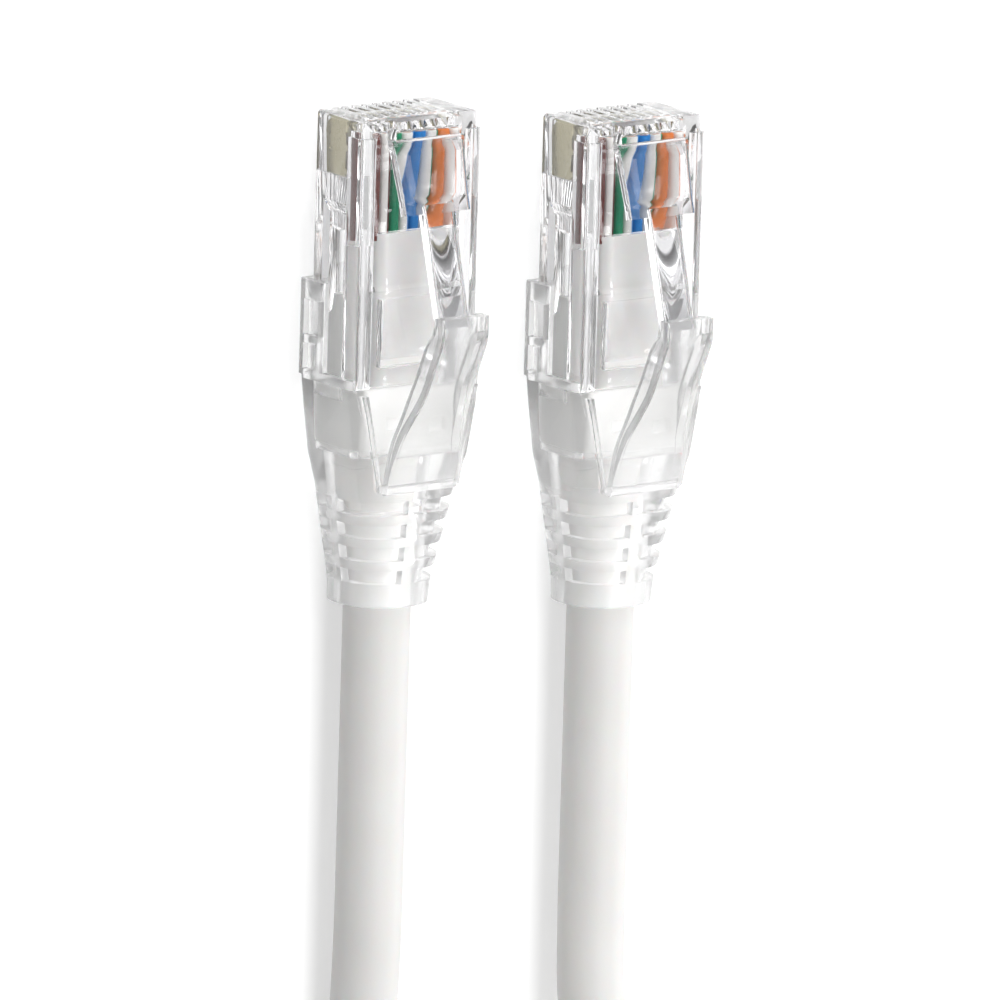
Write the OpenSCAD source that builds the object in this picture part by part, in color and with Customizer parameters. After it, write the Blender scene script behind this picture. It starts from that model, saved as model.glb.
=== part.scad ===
// Ethernet patch cable: two eight-contact plugs with snagless boots on one round cable.
// Each plug is drawn with its nose at y = 0 and its contact side at z = 0, and its length is
// counted as s, in millimetres behind the nose, so y = -s.

/* [Plug body] */
// Width of the plug over its two guide rails
plug_w = 11.75; // [11.6:0.05:12]
// Height of the plug from its contact side to the top of the rails
plug_h = 6.6; // [6.4:0.05:6.8]
// Length of the plug from its nose to the cable entry
plug_l = 21.8; // [21:0.1:23]
// Radius of the long edges of the plug
edge_r = 0.3; // [0.2:0.05:0.6]
// Radius of the upright edges of the nose
nose_r = 0.4; // [0.3:0.1:1]
// How far a rail stands out from the side of the body
rail_out = 0.15; // [0.1:0.05:0.3]
// How far a rail stands up from the latch face
rail_up = 0.3; // [0.1:0.05:0.4]
// Height of a rail down the side of the body
rail_h = 2; // [1.6:0.1:2.2]
// Distance from the nose to the front end of the rails
rail_start = 1.4; // [1:0.1:1.7]
// Depth of the panel sunk into each side
panel_depth = 0.7; // [0.4:0.05:0.8]
// Distance from the nose to the front of the side panels
panel_start = 8.2; // [7.4:0.1:9]
// Height of the strip below the side panels
panel_sill = 1.3; // [1.1:0.1:1.6]
// Thickness of the roof over the jacket cavity
roof = 0.9; // [0.7:0.05:1]
// Distance from the nose to the front of the strain relief pocket
pocket_start = 14.7; // [14.2:0.1:15]
// Length of the strain relief pocket
pocket_l = 5.6; // [5.2:0.1:5.8]
// Width of the strain relief pocket
pocket_w = 6.6; // [5.5:0.1:7]
// Thickness of the strain relief bar
bar_t = 0.7; // [0.5:0.05:0.75]

/* [Latch] */
// Width of the key block on the nose
key_w = 6.4; // [6.2:0.1:6.8]
// Length of the key block
key_l = 1.9; // [1.8:0.1:2.2]
// Height of the key block above the latch face
key_h = 1.2; // [1.1:0.1:1.5]
// Width of the latch across its shoulders
shoulder_w = 6.4; // [6:0.1:6.8]
// Length of the latch from its root to the back of the shoulders
shoulder_l = 5.8; // [5.5:0.1:6.2]
// Width of the latch where it leaves the key block
latch_root_w = 7; // [6.4:0.1:7.4]
// Width of the latch arm
arm_w = 2.9; // [2.4:0.1:3.2]
// Length of the latch from its root to the tip of the arm
latch_l = 15; // [14.5:0.1:15.2]
// Thickness of the latch at its shoulders
latch_t = 0.75; // [0.6:0.05:0.9]
// How far the arm stands up from the shoulders
arm_up = 0.3; // [0.1:0.05:0.35]
// Angle of the latch at rest
latch_angle = 16; // [14.5:0.5:16]

/* [Contacts and wires] */
// Distance from one contact to the next
contact_pitch = 1.016; // [1:0.002:1.03]
// Thickness of a contact blade
contact_t = 0.34; // [0.25:0.01:0.4]
// Length of a contact blade
contact_l = 4.6; // [4:0.1:5]
// Height of a contact blade up to its shoulder
contact_h = 3; // [2.6:0.05:3.05]
// How deep the contact edges lie below the contact side
contact_sunk = 0.35; // [0.2:0.05:0.6]
// Width of the slot that holds a contact
slot_w = 0.44; // [0.42:0.01:0.5]
// Diameter of a wire over its insulation
wire_d = 0.94; // [0.85:0.01:0.97]
// Diameter of a copper core
core_d = 0.52; // [0.4:0.01:0.55]
// Distance from the nose to the ends of the wires
wire_start = 1.3; // [1.1:0.1:1.8]
// Height of the wires above the contact side
wire_z = 4.4; // [4.2:0.01:4.5]

/* [Cable] */
// Diameter of the round cable
cable_d = 5.5; // [5:0.1:5.6]
// Width of the jacket where the plug clamps it flat
flat_w = 8; // [7.8:0.1:8.4]
// Height of the jacket where the plug clamps it flat
flat_h = 4; // [3.6:0.1:4.1]
// Distance from the nose to the end of the jacket
jacket_start = 9.4; // [9:0.1:10]

/* [Boot] */
// Distance from the nose to the front edge of the boot's ears
ear_start = 13.7; // [13.2:0.1:14]
// Distance from the nose to the front edge of the boot's shell
shell_start = 21; // [20.8:0.1:21.4]
// Distance from the nose to the end of the boot's tail
boot_end = 40.2; // [39.6:0.1:42]
// Wall of the boot beside the plug
boot_side = 0.7; // [0.5:0.05:0.8]
// Wall of the boot below the plug
boot_floor = 0.5; // [0.4:0.05:0.7]
// Diameter of the end of the boot's tail
tail_d = 7.8; // [7.4:0.1:8.2]
// Height of the ears up the sides of the plug
ear_h = 1.4; // [1.2:0.05:1.4]
// Number of slots along the flex tail
slot_count = 4; // [3:1:4]
// Distance from one flex slot to the next
slot_pitch = 1.9; // [1.75:0.05:1.95]
// Width of a flex slot along the tail
slot_l = 0.95; // [0.6:0.05:1]
// Width of the spines that join the rings of the tail
spine_w = 2.2; // [1.6:0.1:2.6]

/* [Boot lever] */
// Width of the lever at its tip
lever_tip_w = 4.6; // [4.4:0.1:5.2]
// Width of the lever at its root
lever_root_w = 7; // [6:0.1:7.2]
// Thickness of the lever
lever_t = 1; // [0.8:0.05:1]
// Depth of the flanges along the lever's edges
flange_h = 1.5; // [1.2:0.1:1.7]
// Thickness of the flanges
flange_t = 0.65; // [0.4:0.05:0.65]
// Distance from the nose to the lever's root
lever_root = 30; // [29.8:0.1:30.2]
// Distance from the lever's root to its tip
lever_l = 14.8; // [14.4:0.1:15]
// How far the lever's tip stands above its root
lever_rise = 6.05; // [5.9:0.05:6.2]

/* [Fits] */
// Running clearance at the flexing roots
root_gap = 0.05; // [0.03:0.01:0.08]
// Clearance of pieces that sit in one another
seat_gap = 0.05; // [0.03:0.01:0.08]

/* [Layout] */
// Sideways distance between the two plugs
plug_pitch = 22.4; // [20:0.2:26]
// How far the second plug lies behind the first
plug_stagger = 2.4; // [0:0.2:4]

/* [Hidden] */
$fn = 48;
eps = 0.01;
// Longer than any cut needs to run past what it cuts
reach = 20;
contact_count = 8;

// Plug
body_w = plug_w - 2 * rail_out;
face_z = plug_h - rail_up;
rail_z = plug_h - rail_h;
channel_w = contact_count * contact_pitch + 2 * seat_gap;
channel_r = wire_d / 2 + seat_gap;
cavity_w = flat_w + 2 * seat_gap;
cavity_top = face_z - roof;
jacket_z = cavity_top - seat_gap - flat_h / 2;
pocket_end = pocket_start + pocket_l;
contact_start = 0.7;
slot_top = wire_z;
nose_slot_h = 2.6;
tip_top = wire_z - core_d / 2 - 2 * eps;
wire_l = jacket_start - wire_start + 0.6;
tip_places = [0.45, 0.85];
tip_w = 0.5;

// Latch, with its root on the back of the key block
latch_s = key_l;
latch_z = face_z + key_h - latch_t / 2;
root_r = latch_t / 2;
arm_start = shoulder_l - 1.3;

// Boot: its cross-sections from front to back are [s, half width, half height, corner, centre height]
mid_z = plug_h / 2;
front_hw = plug_w / 2 + boot_side;
front_hh = plug_h / 2 + boot_floor;
tail_r = tail_d / 2;
collar_s = lever_root + 0.6;
axis_z = mid_z - 1.1;
shell_sections = [
    [shell_start, front_hw, front_hh - 0.25, 0.9, mid_z - 0.25],
    [shell_start + 3, front_hw - 0.25, front_hh, 1.5, mid_z - 0.15],
    [lever_root - 2, front_hw - 0.7, front_hh + 0.45, 2.3, mid_z - 0.1],
    [collar_s, tail_r + 1.45, tail_r + 0.65, 3.2, mid_z - 0.2],
    [boot_end - 1.8, tail_r + 0.1, tail_r + 0.1, tail_r - 0.35, axis_z + 0.1],
    [boot_end, tail_r, tail_r, tail_r - 0.4, axis_z]
];
hollow_end = lever_root - 1.8;
hollow_gap = 0.15;
// Where the jacket goes from flat to round, as [s, how round it is]
narrowing = [
    [plug_l, 0], [plug_l + 1.5, 0.2], [plug_l + 3, 0.5], [plug_l + 4.5, 0.8], [hollow_end - 0.3, 1]
];
bore_r = cable_d / 2 + seat_gap;
plug_hole_w = plug_w + 2 * seat_gap;
trough_z = plug_h + 0.35;
trough_rib = 1.1;
tongue_start = ear_start + 0.8;
tongue_out = 0.35;
window_start = ear_start + 1.5;
window_end = ear_start + 4.6;
first_slot = lever_root + 1.8;
slot_core_r = bore_r + 0.45;

// Lever: the outer line of its profile from tip to root, as shares of its length and rise
lever_r = 0.45;
lever_z = trough_z + lever_r + root_gap;
lever_shares = [[1, 1], [0.851, 0.983], [0.544, 0.636], [0.392, 0.405], [0.088, 0.157]];
lever_line = concat(
    [for (v = lever_shares) [lever_root - lever_l * v[0], lever_z + lever_rise * v[1]]],
    [[lever_root + 0.16, lever_z + lever_r - 0.03]]
);

// Layout
plug_z = tail_r - axis_z;
assembly_l = boot_end + plug_stagger;
nose_y = [assembly_l / 2, assembly_l / 2 - plug_stagger];
plug_x = [-plug_pitch / 2, plug_pitch / 2];
cable_z = plug_z + axis_z;

// Cable: the spare length lies in a hank of four turns, in line with the plugs. Its bundle is a
// square of turns that twists by a quarter in each turn, so one unbroken tube fills it.
hank_bend = 22;
hank_run = 27.4;
hank_y = -88;
hank_step = 6;
hank_rings = 24;
hank_sides = 6;
way_in = 42;
lead = 1;
stretch_sides = 8;
stretch_steps = 6;
half_diagonal = hank_step / sqrt(2);
degrees = 180 / PI;
arc_l = PI * hank_bend;
loop_l = 2 * arc_l + 2 * hank_run;
first_l = hank_bend * (180 - way_in) / degrees;
turns = 4 - 2 * hank_bend * (90 - way_in) / degrees / loop_l;
low_z = cable_d / 2;

// The insulation colours of contacts 1 to 8
wire_colours = [
    "#F2D9C2", "#DD8040", "#DCE8DC", "#1B5FB4", "#D5E0EE", "#0E8A5A", "#E6DBD3", "#6B2E22"
];

// ---- helpers ----

// A block w wide, from s0 to s1 behind the nose and from z0 to z1
module slab(w, s0, s1, z0, z1) {
    translate([-w / 2, -s1, z0]) cube([w, s1 - s0, z1 - z0]);
}

// A profile of [s, z] points, w wide across the plug
module side_prism(w, points) {
    translate([-w / 2, 0, 0]) rotate([90, 0, 90])
        linear_extrude(w) polygon([for (p = points) [-p[0], p[1]]]);
}

// A plan of [x, s] points, from z0 to z1
module plan_prism(z0, z1, points) {
    translate([0, 0, z0]) linear_extrude(z1 - z0) polygon([for (p = points) [p[0], -p[1]]]);
}

// A rectangle with round corners, centred
module round_rect(w, h, r) {
    square([w - 2 * r, h], center = true);
    square([w, h - 2 * r], center = true);
    for (x = [-1, 1], y = [-1, 1])
        translate([x * (w / 2 - r), y * (h / 2 - r)]) circle(r);
}

// A bar of round rectangular section, from s0 to s1, centred at height z
module round_bar(w, h, r, s0, s1, z) {
    translate([0, -s0, z]) rotate([90, 0, 0]) linear_extrude(s1 - s0) round_rect(w, h, r);
}

// A round bar along s at [x, z]
module rod(r, s0, s1, x, z) {
    translate([x, -s0, z]) rotate([90, 0, 0]) cylinder(r = r, h = s1 - s0);
}

// A round bar across the plug at [s, z]
module cross_rod(r, w, s, z) {
    translate([-w / 2, -s, z]) rotate([0, 90, 0]) cylinder(r = r, h = w);
}

function unit(v) = v / norm(v);
function left_of(v) = [-v[1], v[0]];

// The corner points of a line of [s, z] points moved sideways by t
function moved_line(line, t) = [
    for (i = [0 : len(line) - 1])
        let (
            a = left_of(unit(line[max(i, 1)] - line[max(i, 1) - 1])),
            j = min(i, len(line) - 2),
            b = left_of(unit(line[j + 1] - line[j]))
        )
        line[i] + (a + b) * t / (1 + a * b)
];

// A closed skin over rings that have the same number of points
module skin(rings) {
    n = len(rings[0]);
    last = len(rings) - 1;
    polyhedron(
        points = [for (ring = rings) each ring],
        faces = concat(
            [for (k = [0 : last - 1], i = [0 : n - 1], half = [0, 1])
                let (a = k * n + i, b = k * n + (i + 1) % n)
                half == 0 ? [a, b + n, b] : [a, a + n, b + n]],
            [[for (i = [0 : n - 1]) i]],
            [[for (i = [n - 1 : -1 : 0]) last * n + i]]
        )
    );
}

// The ring of one section [s, half width, half height, corner, centre height]
function section_ring(v, n = 8) = [
    for (q = [0 : 3], i = [0 : n - 1])
        let (
            angle = q * 90 + i * 90 / (n - 1),
            x = (q == 0 || q == 3 ? 1 : -1) * (v[1] - v[3]) + v[3] * cos(angle),
            z = (q < 2 ? 1 : -1) * (v[2] - v[3]) + v[3] * sin(angle)
        )
        [x, -v[0], v[4] + z]
];

// ---- plug ----

module plug_shape() {
    intersection() {
        union() {
            round_bar(body_w, face_z, edge_r, 0, plug_l, face_z / 2);
            for (side = [-1, 1])
                translate([side * (plug_w / 2 - 0.7), -rail_start, plug_h - rail_h / 2])
                    rotate([90, 0, 0])
                        linear_extrude(plug_l - rail_start) round_rect(1.4, rail_h, edge_r);
        }
        // Round upright edges at the nose
        union() {
            slab(body_w - 2 * nose_r, 0, nose_r, 0, plug_h);
            slab(plug_w, nose_r, plug_l, 0, plug_h);
            for (side = [-1, 1])
                translate([side * (body_w / 2 - nose_r), -nose_r, 0])
                    cylinder(r = nose_r, h = plug_h);
        }
    }
}

module contact_slots() {
    for (i = [1 : contact_count])
        translate([contact_x(i), 0, 0]) {
            slab(slot_w, contact_start - seat_gap, contact_start + contact_l + seat_gap, -1, slot_top);
            slab(slot_w, -1, contact_start, -1, nose_slot_h);
        }
}

module strain_relief_bar() {
    low = cavity_top;
    side_prism(pocket_w - 0.4, [
        [pocket_start - 0.2, low + 0.05], [pocket_start - 0.2, low + 0.05 + bar_t],
        [pocket_end - 1.6, low + 0.05 + bar_t], [pocket_end - 0.6, low + 0.05 + bar_t / 2],
        [pocket_end - 0.6, low + 0.05]
    ]);
}

module housing() {
    color("#E9EAEE") {
        difference() {
            union() {
                plug_shape();
                slab(key_w, 0, key_l, face_z - 1, face_z + key_h);
            }
            contact_slots();
            // Channel for the wires
            round_bar(channel_w, 2 * channel_r, channel_r - eps,
                wire_start - 0.1, jacket_start + 1, wire_z);
            // Cavity for the jacket
            round_bar(cavity_w, flat_h + 2 * seat_gap, flat_h / 2 - 0.2,
                jacket_start - 0.1, plug_l + 1, jacket_z);
            // Strain relief pocket
            slab(pocket_w, pocket_start, pocket_end, cavity_top - 0.5, plug_h + 1);
            // Side panels
            for (side = [-1, 1])
                translate([side * body_w / 2, 0, 0])
                    slab(2 * panel_depth, panel_start, plug_l + 1, panel_sill, rail_z);
            // Seat of the latch root
            cross_rod(root_r + root_gap, latch_root_w + 0.4, latch_s, latch_z);
        }
        strain_relief_bar();
    }
}

module latch_tab() {
    color("#EDEEF2")
        translate([0, -latch_s, latch_z]) rotate([-latch_angle, 0, 0]) {
            cross_rod(root_r, latch_root_w, 0, 0);
            plan_prism(-root_r, root_r, [
                [-latch_root_w / 2, 0], [latch_root_w / 2, 0],
                [shoulder_w / 2, shoulder_l], [-shoulder_w / 2, shoulder_l]
            ]);
            slab(arm_w, arm_start, latch_l, -root_r, root_r + arm_up);
        }
}

function contact_x(i) = ((contact_count + 1) / 2 - i) * contact_pitch;

// A blade with a round front corner and two points that pierce the insulation
module contact(i) {
    r = 0.8;
    low = contact_sunk;
    front = contact_start;
    back = contact_start + contact_l;
    color("#C9B26A")
        translate([contact_x(i), 0, 0]) side_prism(contact_t, concat(
            [for (a = [0 : 15 : 90]) [front + r - r * cos(a), low + r - r * sin(a)]],
            [[back, low], [back, contact_h]],
            [for (k = [1, 0]) each let (s = front + contact_l * tip_places[k])
                [[s + tip_w / 2, contact_h], [s, tip_top], [s - tip_w / 2, contact_h]]],
            [[front, contact_h]]
        ));
}

module wire(i) {
    color(wire_colours[i - 1])
        difference() {
            rod(wire_d / 2, wire_start, wire_start + wire_l, contact_x(i), wire_z);
            rod(core_d / 2 + eps, wire_start - 1, wire_start + wire_l + 1, contact_x(i), wire_z);
            // Nicks where the contact's points go in
            translate([contact_x(i), 0, 0])
                for (k = tip_places)
                    slab(contact_t + 2 * eps,
                        contact_start + contact_l * k - tip_w / 2,
                        contact_start + contact_l * k + tip_w / 2, 0, tip_top + eps);
        }
}

module wire_cores() {
    color("#B87333")
        for (i = [1 : contact_count])
            rod(core_d / 2, wire_start, wire_start + wire_l, contact_x(i), wire_z);
}

// The skin of the jacket over stations of [s, how round it is], grown by gap. It goes from its
// flat end in the plug to the round cable in the boot's tail.
module jacket_skin(stations, gap) {
    flat = [flat_w / 2, flat_h / 2, flat_h / 2 - 0.1, jacket_z];
    round_end = [cable_d / 2, cable_d / 2, cable_d / 2 - eps, axis_z];
    grown = [gap, gap, gap, 0];
    skin([
        for (v = stations)
            section_ring(concat([v[0]], flat * (1 - v[1]) + round_end * v[1] + grown), 6)
    ]);
}

module jacket_end() {
    color("#E8E7E5")
        difference() {
            jacket_skin(concat([[jacket_start, 0]], narrowing, [[boot_end, 1]]), 0);
            // Mouth that the wires go into
            slab(channel_w, jacket_start - 1, jacket_start + 0.7,
                wire_z - wire_d / 2 - seat_gap, wire_z + wire_d / 2 + seat_gap);
        }
}

// ---- boot ----

module boot_shell() {
    skin([for (v = shell_sections) section_ring(v)]);
}

module ears() {
    z0 = -boot_floor;
    difference() {
        round_bar(plug_w + 2 * boot_side, ear_h - z0, 0.3, ear_start, shell_start + 0.5, (ear_h + z0) / 2);
        slab(plug_hole_w, ear_start - 1, plug_l + seat_gap, -seat_gap, plug_h);
        for (side = [-1, 1])
            translate([side * (plug_w / 2 + boot_side), 0, 0])
                slab(2 * boot_side + 1, window_start, window_end, seat_gap + 0.15, ear_h - 0.3);
    }
}

module tongues() {
    inner = body_w / 2 - panel_depth + seat_gap;
    outer = body_w / 2 + tongue_out;
    low = panel_sill + seat_gap;
    high = rail_z - seat_gap;
    for (side = [-1, 1])
        translate([side * (inner + outer) / 2, 0, 0])
            side_prism(outer - inner, [
                [tongue_start, high - 0.6], [tongue_start + 0.5, high],
                [shell_start + 1.5, high], [shell_start + 1.5, low], [tongue_start + 2.4, low],
                [tongue_start + 1.4, low + 1.4], [tongue_start, low + 1.4]
            ]);
}

// The trough under the lever, with a rib left along each side
module trough() {
    w0 = front_hw - trough_rib;
    w1 = lever_root_w / 2 + 0.3;
    plan_prism(trough_z, reach, [
        [-w0, shell_start - 1], [w0, shell_start - 1],
        [w1, lever_root - 1], [w1, lever_root], [-w1, lever_root], [-w1, lever_root - 1]
    ]);
}

module flex_slots() {
    for (k = [0 : slot_count - 1])
        let (s = first_slot + k * slot_pitch, z = mid_z - 0.2 - 0.5 * (k + 0.5) / slot_count)
            difference() {
                slab(reach, s - slot_l / 2, s + slot_l / 2, -reach / 2, reach / 2);
                rod(slot_core_r, s - slot_l, s + slot_l, 0, axis_z);
                slab(spine_w, s - slot_l, s + slot_l, -reach, reach);
                slab(2 * reach, s - slot_l, s + slot_l, z - spine_w / 2, z + spine_w / 2);
            }
}

module boot() {
    color("#DADADC")
        difference() {
            union() {
                boot_shell();
                ears();
                tongues();
            }
            // Mouth that the back of the plug sits in
            slab(plug_hole_w, shell_start - 1, plug_l + seat_gap, -seat_gap, plug_h + 5);
            // Hollow that the cable's jacket narrows in
            jacket_skin(concat([[plug_l - 1, 0]], narrowing, [[hollow_end, 1]]), hollow_gap);
            rod(bore_r, hollow_end - 0.2, boot_end + 1, 0, axis_z);
            trough();
            flex_slots();
            // Seat of the lever's root
            cross_rod(lever_r + root_gap, lever_root_w + 0.6, lever_root, lever_z);
        }
}

module boot_lever() {
    inner_line = moved_line(lever_line, -lever_t);
    flange_line = moved_line(lever_line, -flange_h);
    n = len(lever_line);
    under = [lever_root, lever_z - lever_r];
    tip_s = lever_line[0][0];
    color("#E6E6EA")
        intersection() {
            union() {
                cross_rod(lever_r, lever_root_w, lever_root, lever_z);
                side_prism(lever_root_w, concat(
                    lever_line,
                    [under],
                    [for (i = [n - 2 : -1 : 0]) inner_line[i]]
                ));
                difference() {
                    side_prism(lever_root_w, concat(
                        [for (i = [0 : 3]) lever_line[i]],
                        [(lever_line[4] + inner_line[4]) / 2],
                        [for (i = [2 : -1 : 0]) flange_line[i]]
                    ));
                    plan_prism(0, reach, [
                        [-lever_tip_w / 2 + flange_t, tip_s - 1], [lever_tip_w / 2 - flange_t, tip_s - 1],
                        [lever_root_w / 2 - flange_t, lever_root], [-lever_root_w / 2 + flange_t, lever_root]
                    ]);
                }
            }
            plan_prism(0, reach, [
                [-lever_tip_w / 2, tip_s - 1], [lever_tip_w / 2, tip_s - 1],
                [lever_tip_w / 2, lever_root - 9], [lever_root_w / 2, lever_root - 1],
                [lever_root_w / 2, lever_root + 1], [-lever_root_w / 2, lever_root + 1],
                [-lever_root_w / 2, lever_root - 1], [-lever_tip_w / 2, lever_root - 9]
            ]);
        }
}

// ---- cable ----

// The middle of the hank's bundle, a length l along it, as [angle round the bend, y of its centre]
function bundle_at(l) =
    let (m = l - loop_l * floor(l / loop_l))
    m < arc_l ? [m / hank_bend * degrees, hank_y]
    : m < arc_l + hank_run ? [180, hank_y - (m - arc_l)]
    : m < loop_l - hank_run ? [180 + (m - arc_l - hank_run) / hank_bend * degrees, hank_y - hank_run]
    : [360, hank_y - (loop_l - m)];

// A point of the hank after t turns. The bundle is lifted so that its lowest turn lies flat.
function hank_point(t) =
    let (
        place = bundle_at(first_l + t * loop_l),
        corner = -45 - 90 * t,
        r = hank_bend + half_diagonal * cos(corner),
        lift = half_diagonal * cos(45 - 90 * (t - floor(t)))
    )
    [r * cos(place[0]), place[1] + r * sin(place[0]), low_z + half_diagonal * sin(corner) + lift];

// The directions in which the cable comes in at the first end and goes out at the last
way_first = [-sin(way_in), -cos(way_in), 0];
way_last = [-sin(way_in), cos(way_in), 0];

hank_steps = round(hank_rings * turns);
hank_path = concat(
    [hank_point(0) - lead * way_first],
    [for (i = [0 : hank_steps]) hank_point(turns * i / hank_steps)],
    [hank_point(turns) + lead * way_last]
);

// The least distance between the surfaces of turns of the hank
hank_gap = min([
    for (i = [0 : len(hank_path) - 1], j = [i + 12 : 1 : len(hank_path) - 1])
        norm(hank_path[i] - hank_path[j]) - cable_d
]);
echo(hank_gap = hank_gap);

function eased(from, to, u) = from + (to - from) * u * u * (3 - 2 * u);

// The path of the free stretch of end i: straight and down to the surface, then one bend
// outwards that meets the hank at the point goal
function stretch_path(i, goal) =
    let (
        start = boot_exit(i),
        side = sign(start[0]),
        bend_end = goal - lead * [side * sin(way_in), -cos(way_in), 0],
        bend_r = (abs(bend_end[0]) - abs(start[0])) / (1 - cos(way_in)),
        bend_y = bend_end[1] + bend_r * sin(way_in),
        run_y = start[1] - cable_d
    )
    concat(
        [start],
        [for (k = [0 : stretch_steps - 1])
            let (u = k / stretch_steps)
            [start[0], run_y + (bend_y - run_y) * u, eased(start[2], low_z, u)]],
        [for (k = [0 : stretch_steps])
            let (u = k / stretch_steps, a = way_in * u)
            [
                start[0] + side * bend_r * (1 - cos(a)),
                bend_y - bend_r * sin(a),
                eased(low_z, goal[2], u)
            ]],
        [goal]
    );

function path_l(path, last) = last == 0 ? 0 : norm(path[last] - path[last - 1]) + path_l(path, last - 1);

path_a = stretch_path(0, hank_path[0]);
path_b = stretch_path(1, hank_path[len(hank_path) - 1]);
echo(length_between_noses = 2 * boot_end + path_l(path_a, len(path_a) - 1)
    + path_l(hank_path, len(hank_path) - 1) + path_l(path_b, len(path_b) - 1));

function path_way(path, i) =
    unit(path[min(i + 1, len(path) - 1)] - path[max(i - 1, 0)]);

// A round tube along a path that never runs upright
module tube(path, d, sides) {
    skin([
        for (i = [0 : len(path) - 1])
            let (
                way = path_way(path, i),
                across = unit([way[1], -way[0], 0]),
                up = cross(across, way)
            )
            [for (k = [0 : sides - 1])
                path[i] + d / 2 * (across * sin(360 * k / sides) + up * cos(360 * k / sides))]
    ]);
}

function boot_exit(i) = [plug_x[i], nose_y[i] - boot_end, cable_z];

module cord_stretch_a() {
    color("#EAE9E7") tube(path_a, cable_d, stretch_sides);
}

module cord_stretch_b() {
    color("#EAE9E7") tube(path_b, cable_d, stretch_sides);
}

module cord_hank() {
    color("#EAE9E7") tube(hank_path, cable_d, hank_sides);
}

// ---- layout ----

module end_a() {
    translate([plug_x[0], nose_y[0], plug_z]) children();
}

module end_b() {
    translate([plug_x[1], nose_y[1], plug_z]) children();
}

end_a() housing();  // housing_a
end_a() latch_tab();  // latch_tab_a
end_a() wire_cores();  // wire_cores_a
end_a() jacket_end();  // jacket_end_a
end_a() boot();  // boot_a
end_a() boot_lever();  // boot_lever_a
for (i = [1 : contact_count]) {
    end_a() contact(i);
    end_a() wire(i);
}
end_b() housing();  // housing_b
end_b() latch_tab();  // latch_tab_b
end_b() wire_cores();  // wire_cores_b
end_b() jacket_end();  // jacket_end_b
end_b() boot();  // boot_b
end_b() boot_lever();  // boot_lever_b
for (i = [1 : contact_count]) {
    end_b() contact(i);
    end_b() wire(i);
}
cord_stretch_a();
cord_stretch_b();
cord_hank();
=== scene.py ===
import bmesh
import bpy
import numpy as np
from mathutils import Matrix, Vector
from numpy import cos, pi, sin


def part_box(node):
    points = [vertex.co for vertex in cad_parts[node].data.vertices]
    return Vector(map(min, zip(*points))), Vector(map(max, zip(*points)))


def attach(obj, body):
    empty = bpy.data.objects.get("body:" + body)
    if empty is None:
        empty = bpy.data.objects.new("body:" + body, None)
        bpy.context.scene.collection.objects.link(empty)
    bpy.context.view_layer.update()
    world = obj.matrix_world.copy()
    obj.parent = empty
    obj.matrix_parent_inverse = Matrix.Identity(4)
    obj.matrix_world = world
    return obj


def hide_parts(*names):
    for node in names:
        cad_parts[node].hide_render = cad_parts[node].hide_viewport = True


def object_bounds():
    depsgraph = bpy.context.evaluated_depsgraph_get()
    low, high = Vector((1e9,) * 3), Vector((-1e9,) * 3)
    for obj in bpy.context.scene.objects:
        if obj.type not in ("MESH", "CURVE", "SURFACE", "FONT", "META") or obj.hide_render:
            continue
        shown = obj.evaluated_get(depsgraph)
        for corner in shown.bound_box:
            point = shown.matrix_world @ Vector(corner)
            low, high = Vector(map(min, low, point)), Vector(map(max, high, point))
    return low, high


bl_info = {
    "name": "Ethernet patch cable",
    "version": (1, 0, 0),
    "blender": (4, 5, 0),
    "location": "3D View > Sidebar > Patch cable",
    "description": "Two clear modular plugs with snagless boots on one white round cable",
    "category": "Object",
}

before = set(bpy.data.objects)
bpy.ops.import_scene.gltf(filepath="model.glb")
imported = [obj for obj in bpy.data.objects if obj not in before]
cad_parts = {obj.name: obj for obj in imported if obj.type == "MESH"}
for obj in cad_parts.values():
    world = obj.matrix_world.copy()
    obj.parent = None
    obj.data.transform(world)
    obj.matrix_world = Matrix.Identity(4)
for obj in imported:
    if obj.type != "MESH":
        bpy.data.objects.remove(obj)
CAD_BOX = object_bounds()
ENDS = ("a", "b")
MM = 0.001


def srgb(code):
    """Linear red, green and blue of a colour that is written as #RRGGBB."""
    value = np.array([int(code[i : i + 2], 16) for i in (1, 3, 5)]) / 255
    return tuple(np.where(value <= 0.04045, value / 12.92, ((value + 0.055) / 1.055) ** 2.4))


def end_origin(end):
    """The place of one end's own axes: middle of the plug, nose, contact side."""
    low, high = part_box("housing_" + end)
    return Vector(((low.x + high.x) / 2, high.y, low.z))


# ---- properties


def length(name, description, default):
    return bpy.props.FloatProperty(
        name=name, description=description, default=default * MM, min=0, unit="LENGTH", precision=5
    )


def colour(name, description, code):
    return bpy.props.FloatVectorProperty(
        name=name, description=description, default=srgb(code), subtype="COLOR", min=0, max=1
    )


class PlugSizes(bpy.types.PropertyGroup):
    """Sizes of the clear plug body, its latch, contacts and wires"""

    body_w: length("Body width", "Width of the plug between its rails' roots", 11.45)
    rail_out: length("Rail step", "How far a rail stands out from the side", 0.15)
    length: length("Plug length", "From the nose to the cable entry", 21.8)
    face: length("Latch face height", "From the contact side to the latch face", 6.3)
    rail_up: length("Rail height", "How far a rail stands up from the latch face", 0.3)
    edge: length("Moulded edge", "Radius of the moulded edges", 0.11)
    pitch: length("Contact pitch", "Distance from one contact to the next", 1.016)
    blade_t: length("Blade thickness", "Thickness of a contact blade", 0.34)
    wire_d: length("Wire diameter", "Diameter over the insulation of a wire", 0.94)
    wire_z: length("Wire height", "Height of the wires above the contact side", 4.4)
    latch_t: length("Latch thickness", "Thickness of the latch at its shoulders", 0.75)
    latch_l: length("Latch length", "From the latch's root to its tip", 15.0)
    latch_angle: bpy.props.FloatProperty(
        name="Latch angle",
        description="How far the latch stands up from the plug at rest",
        default=np.radians(16),
        subtype="ANGLE",
    )


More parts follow.
